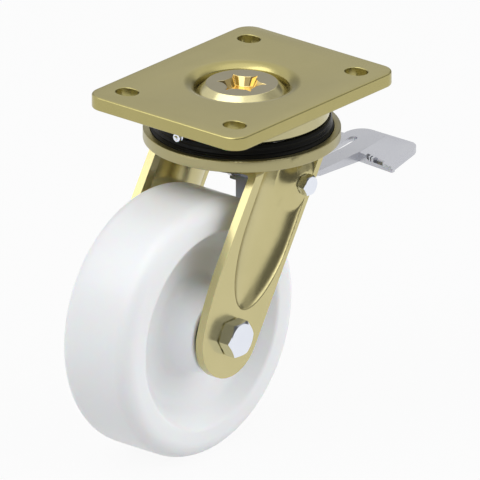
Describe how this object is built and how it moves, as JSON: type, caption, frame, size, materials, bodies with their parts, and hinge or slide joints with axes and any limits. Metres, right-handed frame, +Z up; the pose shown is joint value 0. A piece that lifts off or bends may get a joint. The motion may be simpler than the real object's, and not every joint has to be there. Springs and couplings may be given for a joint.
{
  "type": "swivel castor",
  "caption": "Heavy duty swivel castor with a slotted top plate, pressed fork, white plastic wheel on ball bearings and a one-sided foot brake pedal.",
  "frame": {"origin": "on the swivel axis, at the top face of the plate, the centre of its bolt pattern", "axes": "+Z up, along the swivel axis; +X along the wheel's axle, towards the leg with the bolt heads; +Y towards the leading side, where the foot pedal is, with the wheel trailing at -Y"},
  "size_m": [0.11, 0.2421, 0.1995],
  "materials": {
    "plate_finish": "yellow passivated zinc",
    "kingpin_finish": "yellow passivated zinc, smooth",
    "race_finish": "yellow passivated zinc",
    "fork_finish": "yellow passivated zinc",
    "pedal_finish": "clear passivated zinc",
    "seal_rubber": "black, slightly glossy",
    "wheel_plastic": "white, satin",
    "bolt_finish": "bright zinc",
    "nut_finish": "bright zinc",
    "pivot_finish": "bright zinc",
    "axle_finish": "plain, oiled",
    "bearing_finish": "ground",
    "ball_finish": "polished"
  },
  "bodies": {
    "mount": {"top_plate": "plate_finish", "upper_race": "race_finish", "kingpin": "kingpin_finish", "lower_race": "race_finish", "grease_nipple": "bolt_finish"},
    "fork": {"fork": "fork_finish", "swivel_ring": "race_finish", "swivel_seal": "seal_rubber", "axle_bolt": "bolt_finish", "axle_nut": "nut_finish", "axle_washer": "nut_finish", "axle_tube": "axle_finish", "inner_spacer": "axle_finish", "bearing_inner_ring_right": "bearing_finish", "bearing_inner_ring_left": "bearing_finish", "hub_washer_right": "nut_finish", "hub_washer_left": "nut_finish", "pivot_bolt": "bolt_finish", "pivot_nut": "nut_finish", "pivot_sleeve": "pivot_finish", "pivot_spacer_right": "pivot_finish", "pivot_spacer_left": "pivot_finish", "spring_washer_right": "pivot_finish", "spring_washer_left": "pivot_finish"},
    "wheel": {"wheel": "wheel_plastic", "bearing_outer_ring_right": "bearing_finish", "bearing_outer_ring_left": "bearing_finish", "bearing_shields_right": "bearing_finish", "bearing_shields_left": "bearing_finish"},
    "pedal": {"brake_pedal": "pedal_finish"},
    "swivel_ball_rows": {"upper_balls": "ball_finish", "lower_balls": "ball_finish"},
    "wheel_ball_rows": {"bearing_balls_right": "ball_finish", "bearing_balls_left": "ball_finish"}
  },
  "joints": [
    {"name": "swivel", "type": "hinge", "parent": "mount", "child": "fork", "pos_m": [0, 0, 0], "axis": [0, 0, 1], "continuous": true},
    {"name": "swivel_balls_roll", "type": "hinge", "parent": "mount", "child": "swivel_ball_rows", "pos_m": [0, 0, 0], "axis": [0, 0, 1], "continuous": true},
    {"name": "wheel_spin", "type": "hinge", "parent": "fork", "child": "wheel", "pos_m": [0, -0.055, -0.125], "axis": [1, 0, 0], "continuous": true},
    {"name": "wheel_balls_roll", "type": "hinge", "parent": "fork", "child": "wheel_ball_rows", "pos_m": [0, -0.055, -0.125], "axis": [1, 0, 0], "continuous": true},
    {"name": "pedal_press", "type": "hinge", "parent": "fork", "child": "pedal", "pos_m": [0, 0.00818, -0.0536], "axis": [-1, 0, 0], "range_deg": [0, 16]}
  ],
  "couplings": [
    {"joint": "swivel_balls_roll", "follows": "swivel", "ratio": 0.5},
    {"joint": "wheel_balls_roll", "follows": "wheel_spin", "ratio": 0.6}
  ]
}
